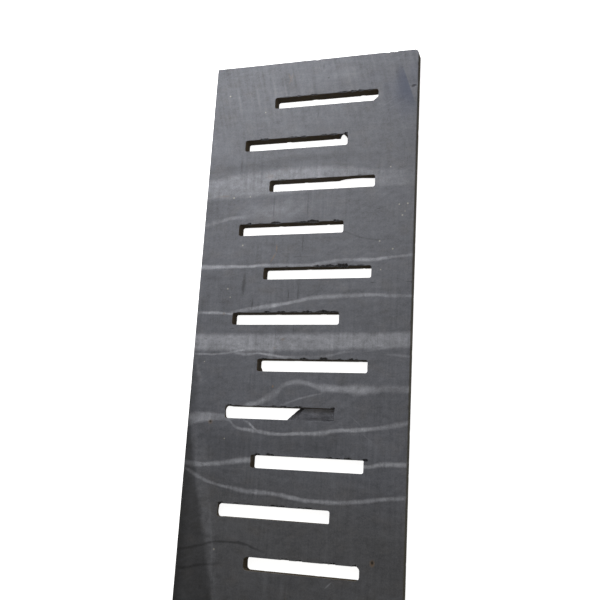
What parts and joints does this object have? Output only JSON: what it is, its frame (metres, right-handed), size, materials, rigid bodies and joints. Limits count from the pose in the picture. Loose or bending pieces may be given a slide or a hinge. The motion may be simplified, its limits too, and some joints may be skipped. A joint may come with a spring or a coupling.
{
  "type": "slate slab",
  "caption": "Flat rectangular slab of dark grey veined slate with staggered straight slots sawn across it, one of them only partly cut through.",
  "frame": {"origin": "middle of the back face, on the surface that the slab lies on", "axes": "+Z out of the front face, +Y along the slab towards its head end, +X to the right seen from the front"},
  "size_m": [0.45, 1.1384, 0.0265],
  "materials": {
    "slate": "sawn and honed, matt, with paler veins"
  },
  "bodies": {
    "root": {"slate_slab": "slate"}
  },
  "joints": []
}
